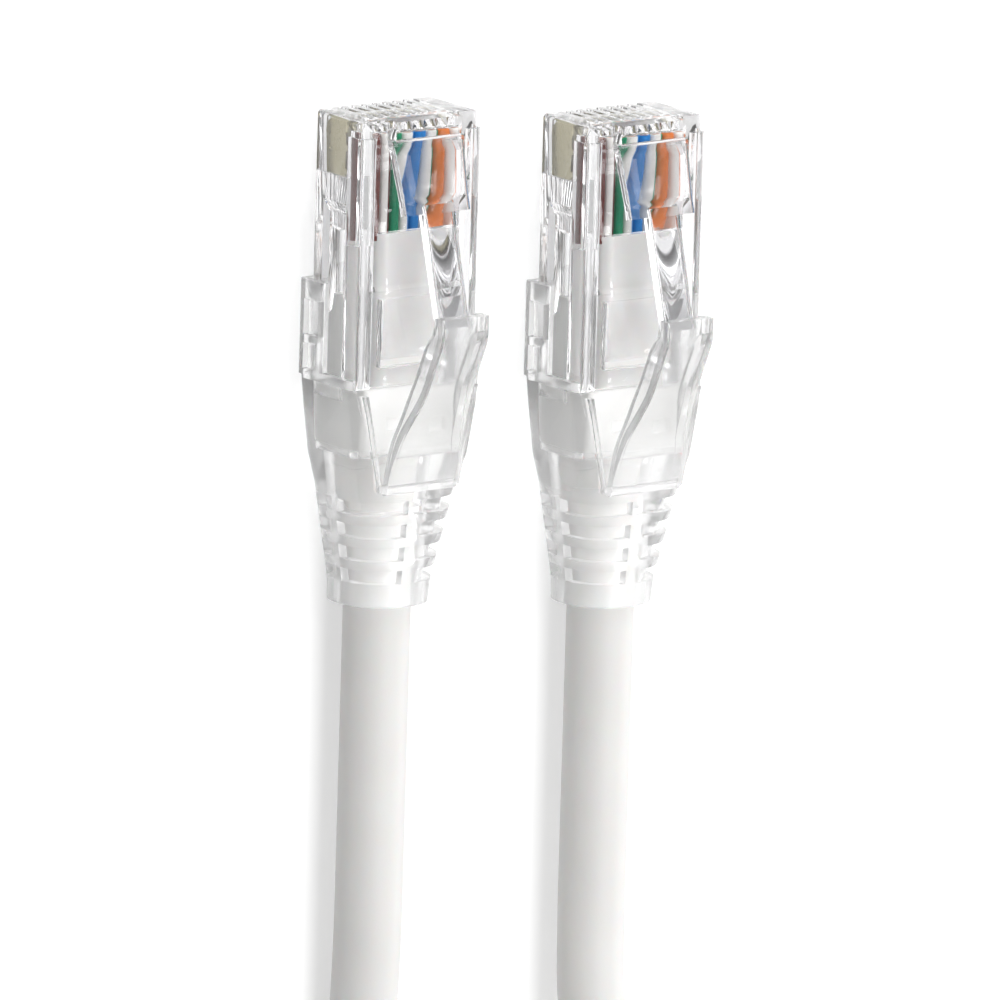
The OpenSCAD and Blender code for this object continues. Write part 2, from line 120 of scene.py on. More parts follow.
class BootSizes(bpy.types.PropertyGroup):
    """Sizes of the boot, its lever and the cable in it"""

    tail_d: length("Tail diameter", "Diameter of the end of the boot's tail", 7.8)
    end: length("Boot end", "From the nose to the end of the boot's tail", 40.2)
    axis_z: length("Cable height", "Height of the cable's axis above the contact side", 2.2)
    slot_l: length("Slot width", "Width of a flex slot along the tail", 1.15)
    slot_pitch: length("Slot pitch", "Distance from one flex slot to the next", 1.95)
    lever_t: length("Lever thickness", "Thickness of the lever's plate", 1.0)


class CordSizes(bpy.types.PropertyGroup):
    """Sizes of the free cable and its hank"""

    diameter: length("Cable diameter", "Diameter of the round cable", 5.5)
    bend: length("Hank bend", "Radius of the middle of the hank's bundle round its ends", 22.0)
    run: length("Hank run", "Length of the hank's straight runs", 27.4)
    step: length("Turn step", "Distance from one turn to the next", 6.0)


class Finishes(bpy.types.PropertyGroup):
    """Colours of the object's materials"""

    clear: colour("Clear plastic", "Tint of the clear plug", "#F5F5F6")
    boot: colour("Boot", "Tint of the clear boot", "#FCFCFC")
    frost: colour("Frosted core", "Tint of the frosted core in the boot", "#F8F8F7")
    jacket: colour("Jacket", "Colour of the cable's jacket", "#E9E8E6")
    gold: colour("Contacts", "Colour of the gold plating", "#A9A284")
    copper: colour("Copper", "Colour of the bare cores", "#C77F55")
    brown: colour("Brown", "Colour of the brown insulation", "#5A1608")
    green: colour("Green", "Colour of the green insulation", "#04825A")
    blue: colour("Blue", "Colour of the blue insulation", "#147AC4")
    orange: colour("Orange", "Colour of the orange insulation", "#EC823A")
    white: colour("White", "Colour of the white insulation", "#F0EEEA")


def sizes(group):
    """The values of a property group, lengths in millimetres."""
    values = getattr(bpy.context.scene, "patch_" + group)
    return {
        key: getattr(values, key) / (1 if key == "latch_angle" else MM)
        for key in values.__annotations__
    }


# ---- shapes on grids


def skin(rings, caps=True):
    """Points and faces of a tube over rings of points, an array of rows, points and x y z. Each
    ring joins the next by four-sided faces, and with caps a flat face closes each end."""
    rows, columns = rings.shape[:2]
    j, i = np.meshgrid(np.arange(rows - 1), np.arange(columns), indexing="ij")
    a, b = j * columns + i, j * columns + (i + 1) % columns
    faces = np.stack([a, b, b + columns, a + columns], -1).reshape(-1, 4).tolist()
    if caps:
        faces.append(list(range(columns))[::-1])
        faces.append(list(range((rows - 1) * columns, rows * columns)))
    return rings.reshape(-1, 3), faces


def joined(parts):
    """Several sets of points and faces as one."""
    points, faces, count = [], [], 0
    for some, others in parts:
        points.append(some)
        faces += [[i + count for i in face] for face in others]
        count += len(some)
    return np.concatenate(points), faces


def moved(part, x):
    return part[0] + np.array([x, 0, 0]), part[1]


def prism(profile, low, high, across="x"):
    """A closed outline of two columns carried along one axis from low to high. Across x the
    columns are distance behind the nose and height, and across z they are x and that distance."""
    p = np.asarray(profile, float)
    a, b = p[:, 0], p[:, 1]
    rows = []
    for t in (low, high):
        t = np.full(len(p), float(t))
        rows.append((t, -a, b) if across == "x" else (a, -b, t))
    return skin(np.array(rows).transpose(0, 2, 1))


def block(w, s0, s1, z0, z1, x=0.0):
    return moved(prism([[s0, z0], [s1, z0], [s1, z1], [s0, z1]], -w / 2, w / 2), x)


def round_rect_rings(s, half_w, half_h, corner, z, n=9, x=0.0):
    """Rings of rectangles with round corners, one for each distance s behind the nose. A point
    is its corner's centre plus the corner radius times the cosine and sine of its angle."""
    s, half_w, half_h, corner, z = np.broadcast_arrays(
        *[np.asarray(v, float).reshape(-1, 1) for v in (s, half_w, half_h, corner, z)]
    )
    quarter = np.repeat(np.arange(4), n)
    angle = np.radians(quarter * 90 + np.tile(np.linspace(0, 90, n), 4))
    side = np.where((quarter == 0) | (quarter == 3), 1, -1)
    level = np.where(quarter < 2, 1, -1)
    px = x + side * (half_w - corner) + corner * cos(angle)
    pz = z + level * (half_h - corner) + corner * sin(angle)
    return np.stack([px, -s + 0 * px, pz], -1)


def cross_rod(radius, w, s, z):
    angle = np.linspace(0, 2 * pi, 32, endpoint=False)
    circle = np.stack([s + radius * cos(angle), z + radius * sin(angle)], -1)
    return prism(circle, -w / 2, w / 2)


def smooth_line(points, count):
    """A smooth line through the given points with count points, evenly spread by length. Between
    two given points, the place is the Catmull-Rom cubic of the nearest four."""
    p = np.asarray(points, float)
    padded = np.vstack([2 * p[0] - p[1], p, 2 * p[-1] - p[-2]])
    t = np.linspace(0, len(p) - 1, 24 * len(p))
    i = np.minimum(t.astype(int), len(p) - 2)
    u = (t - i)[:, None]
    a, b, c, d = (padded[i + k] for k in range(4))
    line = 0.5 * (
        2 * b + (c - a) * u + (2 * a - 5 * b + 4 * c - d) * u**2 + (3 * b - a - 3 * c + d) * u**3
    )
    way = np.concatenate([[0], np.cumsum(np.linalg.norm(np.diff(line, axis=0), axis=1))])
    even = np.linspace(0, way[-1], count)
    return np.stack([np.interp(even, way, line[:, k]) for k in range(p.shape[1])], -1)


def ramp(t, at, value):
    """A value that eases between the given ones with no slope at each."""
    at, value = np.asarray(at, float), np.asarray(value, float)
    i = np.clip(np.searchsorted(at, t, side="right") - 1, 0, len(at) - 2)
    u = np.clip((t - at[i]) / (at[i + 1] - at[i]), 0, 1)
    u = u * u * (3 - 2 * u)
    return value[i] * (1 - u) + value[i + 1] * u


def unit(v):
    """Directions of length one."""
    return v / np.linalg.norm(v, axis=-1, keepdims=True)


# ---- mesh to object


def new_mesh(name, part, recalc=True):
    """A mesh of points and faces with its doubles merged and its faces turned outwards."""
    mesh = bpy.data.meshes.new(name)
    mesh.from_pydata(part[0].tolist(), [], part[1])
    bm = bmesh.new()
    bm.from_mesh(mesh)
    bmesh.ops.remove_doubles(bm, verts=bm.verts, dist=1e-5)
    bmesh.ops.dissolve_degenerate(bm, edges=bm.edges, dist=1e-6)
    if recalc:
        bmesh.ops.recalc_face_normals(bm, faces=bm.faces)
    bm.to_mesh(mesh)
    bm.free()
    return mesh


def places(mesh):
    """The places of a mesh's points, one row each."""
    points = np.zeros(len(mesh.vertices) * 3)
    mesh.vertices.foreach_get("co", points)
    return points.reshape(-1, 3)


def new_object(name, data):
    """An object in the scene for a mesh, a lamp or the camera."""
    obj = bpy.data.objects.new(name, data)
    bpy.context.scene.collection.objects.link(obj)
    return obj


def scratch(part, name="scratch"):
    """A closed shape to build on or to cut with."""
    return new_object(name, new_mesh(name, part))


def take_mesh(obj):
    """The mesh of an object that isn't needed any more."""
    mesh = obj.data
    bpy.data.objects.remove(obj)
    return mesh


def apply_modifiers(obj):
    """Puts what the object's modifiers make into its mesh."""
    graph = bpy.context.evaluated_depsgraph_get()
    mesh = bpy.data.meshes.new_from_object(obj.evaluated_get(graph))
    old = obj.data
    obj.modifiers.clear()
    obj.data = mesh
    bpy.data.meshes.remove(old)


def combine(obj, part, operation):
    """Joins a closed shape to obj, or cuts it out of obj."""
    other = scratch(part)
    mod = obj.modifiers.new("combine", "BOOLEAN")
    mod.operation = operation
    mod.solver = "EXACT"
    mod.object = other
    apply_modifiers(obj)
    bpy.data.meshes.remove(take_mesh(other))


def add(obj, *parts):
    for part in parts:
        combine(obj, part, "UNION")


def cut(obj, *parts):
    for part in parts:
        combine(obj, part, "DIFFERENCE")


def soften(obj, width, segments=2, angle=35):
    """Rounds the moulded edges."""
    mod = obj.modifiers.new("moulded edges", "BEVEL")
    mod.width = width
    mod.segments = segments
    mod.limit_method = "ANGLE"
    mod.angle_limit = np.radians(angle)
    apply_modifiers(obj)


def shade(mesh, angle=32):
    """Smooth shading with creases kept past an angle between faces."""
    mesh.shade_smooth()
    mesh.set_sharp_from_angle(angle=np.radians(angle))


def piece(name, mesh, body, material, slot, *solids):
    """Makes a finished mesh a piece that rides on a body and stands for CAD solids, if any."""
    mesh.name = name
    mesh.materials.append(material)
    obj = new_object(name, mesh)
    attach(obj, body)
    if solids:
        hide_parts(*solids)
    return obj


def place_ends(mesh, name, body, material, slot, solid, angle=32):
    """Puts a mesh in millimetres of a plug's own axes at both ends. {end} in the names of the
    body and of the solid that it stands for is the end."""
    shade(mesh, angle)
    for end in ENDS:
        copy = mesh.copy()
        copy.transform(Matrix.Translation(end_origin(end)) @ Matrix.Diagonal((MM, MM, MM, 1)))
        piece(f"{name}_{end}", copy, body.format(end=end), material, slot, solid.format(end=end))
    bpy.data.meshes.remove(mesh)


# ---- materials


def node(tree, kind, inputs=None, **settings):
    """Adds one shader node. Settings are its attributes or the values of its inputs. Further
    inputs, by name or number, get a value, an output of another node, or the first one of a
    node that is given itself."""
    made = tree.nodes.new("ShaderNode" + kind)
    for key, value in settings.items():
        if hasattr(made, key):
            setattr(made, key, value)
        else:
            made.inputs[key.replace("_", " ")].default_value = value
    for key, source in (inputs or {}).items():
        source = source.outputs[0] if isinstance(source, bpy.types.Node) else source
        if isinstance(source, bpy.types.NodeSocket):
            tree.links.new(source, made.inputs[key])
        else:
            made.inputs[key].default_value = source
    return made


def new_material(name):
    """The material of a name with an empty tree, the tree, and the place on the piece in it. An
    operator that asks for a finish again builds the same one."""
    material = bpy.data.materials.get(name) or bpy.data.materials.new(name)
    material.use_nodes = True
    tree = material.node_tree
    tree.nodes.clear()
    return material, tree, node(tree, "TexCoord").outputs["Object"]


def finished(material, surface):
    """The material, with a shader joined to its output."""
    node(material.node_tree, "OutputMaterial", {"Surface": surface})
    return material


def relief(tree, place, scale, detail, strength, depth, below=None):
    """Noise with scale waves to the metre, and the surface direction that it gives as a relief of
    this depth in metres, on top of another such direction if there is one."""
    noise = node(tree, "TexNoise", {"Vector": place}, Scale=scale, Detail=detail)
    inputs = {"Height": noise, "Normal": below} if below else {"Height": noise}
    return noise, node(tree, "Bump", inputs, Strength=strength, Distance=depth)


def rgba(tint, times=1.0):
    """The colour of a finish, or one written as #RRGGBB, made lighter or darker, and opaque."""
    value = srgb(tint) if tint[0] == "#" else getattr(bpy.context.scene.patch_finish, tint)
    return (*(min(1, v * times) for v in value), 1.0)


def let_light_in(tree, shader, tint):
    """A clear shader whose walls lamps' light goes straight through with a little loss, so that
    what lies inside is lit as it is in clear plastic."""
    path = node(tree, "LightPath")
    straight = node(tree, "BsdfTransparent", Color=rgba(tint))
    return node(tree, "MixShader", {0: path.outputs["Is Shadow Ray"], 1: shader, 2: straight})


def clear_polycarbonate():
    """Injection-moulded clear polycarbonate: glass-like, with the faint flow waves of the mould."""
    material, tree, place = new_material("moulded clear polycarbonate")
    # Flow waves about 4 mm long
    flow, normal = relief(tree, place, 250, 1, 0.08, 0.0002)
    gloss = node(tree, "MapRange", {"Value": flow}, To_Min=0.01, To_Max=0.05)
    inputs = {"Normal": normal, "Roughness": gloss, "Transmission Weight": 1.0}
    shader = node(tree, "BsdfPrincipled", inputs, Base_Color=rgba("clear"), IOR=1.585)
    return finished(material, let_light_in(tree, shader, "#E8E8E8"))


def clear_pvc(name="moulded clear soft PVC", tint="boot", low=0.06, high=0.16, milk=(0.72, 0.92)):
    """Moulded soft PVC: clear at the plug and milky towards the tail, with a soft skin that blurs
    what lies behind it. Low and high are the skin's least and greatest roughness. The two values
    of milk are the shares of light that go through the tail and through the front."""
    material, tree, place = new_material(name)
    # Cloudiness over about 2 mm, and a skin grain of about 0.15 mm
    cloud = node(tree, "TexNoise", {"Vector": place}, Scale=500.0, Detail=2.0)
    _, normal = relief(tree, place, 6500, 2, 0.1, 0.00005)
    gloss = node(tree, "MapRange", {"Value": cloud}, To_Min=low, To_Max=high)
    inputs = {"Normal": normal, "Roughness": gloss, "Transmission Weight": milk[0]}
    shader = node(tree, "BsdfPrincipled", inputs, Base_Color=rgba(tint), IOR=1.53)
    if milk[1] != milk[0]:
        # The tail starts about 33 mm behind the nose, the front about 25 mm
        nose = end_origin("a").y
        along = node(tree, "SeparateXYZ", {"Vector": place}).outputs["Y"]
        inputs = {"Value": along, "From Min": nose - 33 * MM, "From Max": nose - 25 * MM}
        through = node(tree, "MapRange", inputs, To_Min=milk[0], To_Max=milk[1])
        tree.links.new(through.outputs[0], shader.inputs["Transmission Weight"])
    return finished(material, let_light_in(tree, shader, "#F6F6F6"))


def jacket_pvc():
    """Extruded white PVC jacket: satin, with a faint grain and slight unevenness of tone."""
    material, tree, place = new_material("extruded white PVC jacket")
    # Grain of about 0.2 mm and unevenness of about 6 mm, as the jacket shrinks on the pairs in it
    _, grain = relief(tree, place, 5000, 3, 0.12, 0.00005)
    swell, normal = relief(tree, place, 160, 1, 0.15, 0.0004, grain)
    inputs = {"Factor": swell, 6: rgba("jacket", 0.96), 7: rgba("jacket", 1.03)}
    tone = node(tree, "Mix", inputs, data_type="RGBA")
    inputs = {"Normal": normal, "Base Color": tone.outputs[2], "Roughness": 0.42, "IOR": 1.53}
    shader = node(tree, "BsdfPrincipled", inputs, Subsurface_Weight=0.15, Subsurface_Scale=0.0008)
    return finished(material, shader)


def plated_metal(name, tint, roughness):
    """Stamped or drawn metal: bright, with fine scratches along it."""
    material, tree, place = new_material(name)
    # Scratches about 0.1 mm apart, drawn out along the piece
    turned = node(tree, "Mapping", {"Vector": place}, Scale=(1.0, 0.15, 1.0))
    lines, normal = relief(tree, turned, 9000, 2, 0.2, 0.00002)
    low, high = roughness - 0.08, roughness + 0.08
    gloss = node(tree, "MapRange", {"Value": lines}, To_Min=low, To_Max=high)
    inputs = {"Normal": normal, "Roughness": gloss}
    shader = node(tree, "BsdfPrincipled", inputs, Base_Color=rgba(tint), Metallic=1.0)
    return finished(material, shader)


def insulation(name, tint, stripe=None):
    """Extruded polyethylene insulation: smooth and waxy, with a printed stripe on the white ones.
    The stripe follows the piece's own map, whose first value runs once round the wire."""
    material, tree, place = new_material(f"extruded polyethylene {name}")
    # Drawn grain of about 0.25 mm
    grain, normal = relief(tree, place, 4000, 2, 0.12, 0.00004)
    inputs = {"Factor": grain, 6: rgba(tint, 0.9), 7: rgba(tint, 1.06)}
    tone = node(tree, "Mix", inputs, data_type="RGBA").outputs[2]
    if stripe:
        # The stripe covers a sixth of the way round, on the side of the wire and a little up
        turn = node(tree, "SeparateXYZ", {"Vector": node(tree, "UVMap", uv_map="round")})
        away = node(tree, "Math", {0: turn, 1: 0.12}, operation="SUBTRACT")
        near = node(tree, "Math", {0: away}, operation="ABSOLUTE")
        inside = node(tree, "MapRange", {"Value": near}, From_Min=0.09, From_Max=0.07)
        inputs = {"Factor": inside, 6: tone, 7: rgba(stripe)}
        tone = node(tree, "Mix", inputs, data_type="RGBA").outputs[2]
    # Its gloss is faint, because it lies close against the clear plastic
    inputs = {"Normal": normal, "Base Color": tone, "Specular IOR Level": 0.2}
    shader = node(tree, "BsdfPrincipled", inputs, Roughness=0.35, IOR=1.51)
    return finished(material, shader)


def tie_strap():
    """Woven hook and loop strap: matt, with ribs across it."""
    material, tree, place = new_material("woven hook and loop strap")
    # Ribs of the weave about 0.3 mm apart
    wave = node(tree, "TexWave", {"Vector": place}, Scale=1000.0, Distortion=1.5)
    ribs = wave.outputs["Fac"]
    bump = node(tree, "Bump", {"Height": ribs}, Strength=0.5, Distance=0.0001)
    inputs = {"Factor": ribs, 6: rgba("#C9C9C7"), 7: rgba("#E6E6E4")}
    tone = node(tree, "Mix", inputs, data_type="RGBA")
    inputs = {"Normal": bump, "Base Color": tone.outputs[2]}
    return finished(material, node(tree, "BsdfPrincipled", inputs, Roughness=0.85))


# Tint and stripe of each wire, by the number of its contact
WIRES = {
    1: ("white", "orange"),
    2: ("orange", None),
    3: ("white", "green"),
    4: ("blue", None),
    5: ("white", "blue"),
    6: ("green", None),
    7: ("white", "brown"),
    8: ("brown", None),
}


# ---- camera


class CAMERA_OT_patch(bpy.types.Operator):
    """Put the camera over the plugs, looking down from the left and the nose end"""

    bl_idname = "patch.camera"
    bl_label = "Camera"

    def execute(self, context):
        sideways, forwards, tilt = np.radians([35.99, 11.76, 1.61])
        level = cos(forwards)
        away = np.array([-sin(sideways) * level, sin(forwards), cos(sideways) * level])
        right = unit(np.cross((0, 1, 0), away))
        up = np.cross(away, right)
        turn, lean = cos(tilt), sin(tilt)
        right, up = turn * right + lean * up, turn * up - lean * right
        # A point in the first plug, 20 mm behind its nose, fixes the framing: the frame's width
        # is that at this point, and its middle lies aside of it and below it
        anchor = np.array(end_origin("a")) + np.array([0, -20, 3]) * MM
        reach, frame_w, aside, below = 1.5, 80.19 * MM, 8.845 * MM, 11.72 * MM
        eye = anchor + reach * away
        target = anchor + aside * right - below * up
        back = unit(eye - target)
        side = unit(np.cross(up, back))
        top = np.cross(back, side)
        camera = new_object("camera", bpy.data.cameras.new("camera"))
        camera.data.lens = camera.data.sensor_width * reach / frame_w
        camera.data.clip_end = 20
        rows = zip(np.stack([side, top, back], 1), eye)
        camera.matrix_world = Matrix([[*row, place] for row, place in rows] + [[0, 0, 0, 1]])
        context.scene.camera = camera
        return {"FINISHED"}


# ---- cord

# How far the cable turns outwards on its way to the hank, and in millimetres: the middle of the
# hank's nearer half circle along Y, the straight lead into the hank, and how far back the boots
# hold the cable up
WAY_IN = np.radians(42)
HANK_Y = -88.0
LEAD = 1.0
HELD = 44.0


def hank(t):
    """Points of the hank after t turns. The bundle's middle runs round two half circles joined by
    two straight runs. The turns stand at the corners of a square that twists by a quarter in
    each turn, and the square is lifted so that its lowest corner lies flat."""
    c = sizes("cord")
    bend, run, half = c["bend"], c["run"], c["step"] / np.sqrt(2)
    arc, loop = pi * bend, 2 * pi * bend + 2 * run
    m = ((pi - WAY_IN) * bend + t * loop) % loop
    after = m - arc - run
    out = after < 0
    angle = np.where(out, np.minimum(m / bend, pi), pi + np.minimum(after / bend, pi))
    down = np.where(out, np.clip(m - arc, 0, run), run - np.maximum(after - arc, 0))
    corner = -pi / 4 - pi / 2 * t
    r = bend + half * cos(corner)
    lift = half * cos(pi / 4 - pi / 2 * (t - np.floor(t)))
    z = c["diameter"] / 2 + half * sin(corner) + lift
    return np.stack([r * cos(angle), HANK_Y - down + r * sin(angle), z], -1)


def free_stretch(end, goal):
    """From a boot straight on, held up by it, then down to the surface through one bend outwards
    to the hank."""
    c, boot = sizes("cord"), sizes("boot")
    nose = end_origin(end) / MM
    start = np.array([nose.x, nose.y - boot["end"], boot["tail_d"] / 2])
    side = np.sign(start[0])
    last = goal - LEAD * np.array([side * sin(WAY_IN), -cos(WAY_IN), 0])
    bend = (abs(last[0]) - abs(start[0])) / (1 - cos(WAY_IN))
    bend_y, run_y = last[1] + bend * sin(WAY_IN), start[1] - c["diameter"]
    u, v = np.arange(12) / 12, WAY_IN * np.linspace(0, 1, 12)
    x = np.concatenate([start[0] + 0 * u, start[0] + side * bend * (1 - cos(v))])
    y = np.concatenate([run_y + (bend_y - run_y) * u, bend_y - bend * sin(v)])
    z = ramp(-y, [HELD, -last[1]], [start[2], goal[2]])
    return np.vstack([start, np.stack([x, y, z], -1)])


def cord_route():
    """The cable's own line in millimetres, from the first boot through the hank to the second."""
    c = sizes("cord")
    loop = 2 * pi * c["bend"] + 2 * c["run"]
    # The hank ends at the mirror image of its start
    turns = 4 - 2 * c["bend"] * (pi / 2 - WAY_IN) / loop
    way = np.array([sin(WAY_IN), cos(WAY_IN), 0])
    middle = hank(np.linspace(0, turns, 200))
    first = middle[0] + LEAD * way
    last = middle[-1] + LEAD * way * (-1, 1, 1)
    stretches = [free_stretch("a", first), first, middle, last, free_stretch("b", last)[::-1]]
    return smooth_line(np.vstack(stretches), count=760)


def tube(line, radius, n):
    """A round tube along a line that never runs upright. At each point the ring's two directions
    are the level one across the line and the one square to both."""
    way = unit(np.gradient(line, axis=0))
    across = unit(np.stack([way[:, 1], -way[:, 0], 0 * way[:, 0]], -1))
    up = np.cross(across, way)
    angle = np.linspace(0, 2 * pi, n, endpoint=False)[None, :, None]
    return line[:, None] + radius * (across[:, None] * sin(angle) + up[:, None] * cos(angle))


def tie_band():
    """A thin band round one run of the hank: a rounded square, turned as the turns in it are, and
    pressed a little into them. A point is its corner's centre plus a radius times the cosine and
    sine of its angle."""
    c = sizes("cord")
    half_w, inside, outside, turned, middle_z = 4, -0.3, 0.15, np.radians(14), 6.54
    angle = np.linspace(0, 2 * pi, 72, endpoint=False) + pi / 4
    quarter = np.floor(angle / (pi / 2)) * pi / 2 + pi / 4 - turned
    angle = angle - turned
    half = c["step"] / np.sqrt(2)
    rings = []
    for side, grow in ((-1, inside), (-1, outside), (1, outside), (1, inside), (-1, inside)):
        r = c["diameter"] / 2 + grow
        x = half * cos(quarter) + r * cos(angle) - c["bend"]
        z = half * sin(quarter) + r * sin(angle) + middle_z
        rings.append(np.stack([x, side * half_w + HANK_Y - c["run"] / 2 + 0 * x, z], -1))
    return skin(np.array(rings), caps=False)


class CORD_OT_patch(bpy.types.Operator):
    """Make the free cable, its hank and the tie that holds it"""

    bl_idname = "patch.cord"
    bl_label = "Cable"

    def execute(self, context):
        diameter = sizes("cord")["diameter"]
        line = cord_route()
        solids = ("cord_stretch_a", "cord_stretch_b", "cord_hank")
        for name, part, material, replaced in (
            ("cord", skin(tube(line, diameter / 2, n=28)), jacket_pvc(), solids),
            ("cord_tie", tie_band(), tie_strap(), ()),
        ):
            mesh = new_mesh(name, part)
            mesh.transform(Matrix.Diagonal((MM, MM, MM, 1)))
            shade(mesh)
            piece(name, mesh, "cable", material, "white_jacket", *replaced)
        return {"FINISHED"}


# ---- stage


def world_light():
    """A soft studio sky, brightest behind the nose on the right. What is mirrored or seen through
    clear plastic gets it with a dark flag on the right, where the latches' faces mirror it, so
    that no veil hides what lies inside. The camera sees plain white."""
    world = bpy.data.worlds.new("studio")
    world.use_nodes = True
    tree = world.node_tree
    tree.nodes.clear()
    path = node(tree, "LightPath").outputs
    where = node(tree, "TexCoord").outputs["Generated"]

    def towards(way, low, high, least, most):
        """Least to most, as the cosine of the angle to one way goes from low to high."""
        near = node(tree, "VectorMath", {0: where, 1: way}, operation="DOT_PRODUCT")
        value = {"Value": near.outputs["Value"], "From Min": low, "From Max": high}
        return node(tree, "MapRange", value, To_Min=least, To_Max=most)

    bright = towards((0.55, 0.8, -0.25), -0.3, 0.95, 0.25, 1.0)
    flag = towards((0.59, 0.17, 0.79), 0.72, 0.92, 0.0, 0.8)
    rays = {0: path["Is Glossy Ray"], 1: path["Is Transmission Ray"]}
    clear = node(tree, "Math", rays, operation="MAXIMUM")
    dark = node(tree, "Math", {0: flag, 1: clear}, operation="MULTIPLY")
    share = node(tree, "Math", {0: 1.0, 1: dark}, operation="SUBTRACT")
    level = node(tree, "Math", {0: bright, 1: share}, operation="MULTIPLY")
    white = (1, 1, 1, 1)
    sky = node(tree, "Background", {"Strength": level}, Color=white)
    seen = node(tree, "Background", Color=white)
    mix = node(tree, "MixShader", {0: path["Is Camera Ray"], 1: sky, 2: seen})
    node(tree, "OutputWorld", {"Surface": mix})
    return world


def floor_paper():
    """Seamless pale paper: matt, lifted to white where it is seen directly, in gloss or through
    clear plastic, and keeping the shadows that fall on it."""
    material, tree, place = new_material("matt pale paper")
    path = node(tree, "LightPath").outputs
    # Paper tooth of about 0.5 mm
    _, normal = relief(tree, place, 2000, 2, 0.05, 0.0001)
    paper = node(tree, "BsdfDiffuse", {"Normal": normal}, Color=rgba("#D4D4D4"))
    seen = path["Is Glossy Ray"]
    for ray in ("Is Transmission Ray", "Is Camera Ray"):
        seen = node(tree, "Math", {0: seen, 1: path[ray]}, operation="MAXIMUM")
    lift = node(tree, "Math", {0: seen, 1: 0.47}, operation="MULTIPLY")
    glow = node(tree, "Emission", {"Strength": lift})
    return finished(material, node(tree, "AddShader", {0: paper, 1: glow}))


class STAGE_OT_patch(bpy.types.Operator):
    """Make the white floor, the soft sky and the lamps"""

    bl_idname = "patch.stage"
    bl_label = "Stage"

    def execute(self, context):
        scene = context.scene
        scene.view_settings.view_transform = "Standard"
        scene.world = world_light()
        # Light crosses many clear walls before it leaves a plug or boot
        light = scene.cycles
        light.max_bounces = light.transmission_bounces = light.transparent_max_bounces = 32
        light.glossy_bounces = 16
        # The floor is 6 m wide and lies just under the object
        low = CAD_BOX[0][2] - 0.02 * MM
        corners = np.array([[-3, -3, low], [3, -3, low], [3, 3, low], [-3, 3, low]])
        floor = new_object("floor", new_mesh("floor", (corners, [[0, 1, 2, 3]]), recalc=False))
        floor.data.materials.append(floor_paper())
        # Large soft boxes, all out of the way that the latch faces mirror: the key over the nose
        # end, a weaker one low on the right and one straight overhead
        for name, place, size, power in (
            ("key", (0.1, 1.2, 0.75), 0.8, 9.0),
            ("side", (1.2, 0.0, 0.36), 0.6, 2.6),
            ("top", (0.05, 0.2, 1.3), 0.6, 8.0),
        ):
            lamp = new_object(name, bpy.data.lights.new(name, "AREA"))
            lamp.data.size = size
            lamp.data.energy = power
            lamp.location = place
            lamp.rotation_euler = Vector(place).to_track_quat("Z", "Y").to_euler()
        return {"FINISHED"}


# ---- housing

# The key block at the nose, whose rear edge carries the latch: its length, and its height over
# the latch face, in millimetres
KEY_L, KEY_UP = 1.9, 1.2


def plug_outline(s, risen):
    """Rings of the plug's outer form at distances s behind the nose. The half outline runs from
    the middle of the contact side round the lower corner, up the side, out round the rail and in
    along the latch face, and its mirror image closes it. The rails have their whole height and
    step where risen is 1 and none where it is 0. At the nose a quarter circle rounds the width."""
    s, risen = (np.asarray(v, float)[:, None] for v in (s, risen))
    p = sizes("plug")
    b, face, out, up = p["body_w"] / 2, p["face"], p["rail_out"] * risen, p["rail_up"] * risen
    r, nose_r, rail_w, rail_foot = 0.3, 0.3, 1.25, p["face"] - 1.7
    turn = np.radians(np.linspace(0, 90, 6))[None, :]
    half = (
        (0, 0),
        (b - r + r * sin(turn), r - r * cos(turn)),
        (b, rail_foot),
        (b + out, rail_foot),
        (b + out - r + r * cos(turn), face + up - r + r * sin(turn)),
        (b - rail_w, face + up),
        (b - rail_w, face),
        (0, face),
    )
    x, z = (np.concatenate([v * np.ones_like(s) for v in column], 1) for column in zip(*half))
    pinch = nose_r - np.sqrt(np.maximum(nose_r**2 - np.maximum(nose_r - s, 0) ** 2, 0))
    x = x * (b - pinch) / b
    x = np.concatenate([x, -x[:, -2:0:-1]], 1)
    return np.stack([x, -s + 0 * x, np.concatenate([z, z[:, -2:0:-1]], 1)], -1)


def contact_x(i):
    return (4.5 - i) * sizes("plug")["pitch"]


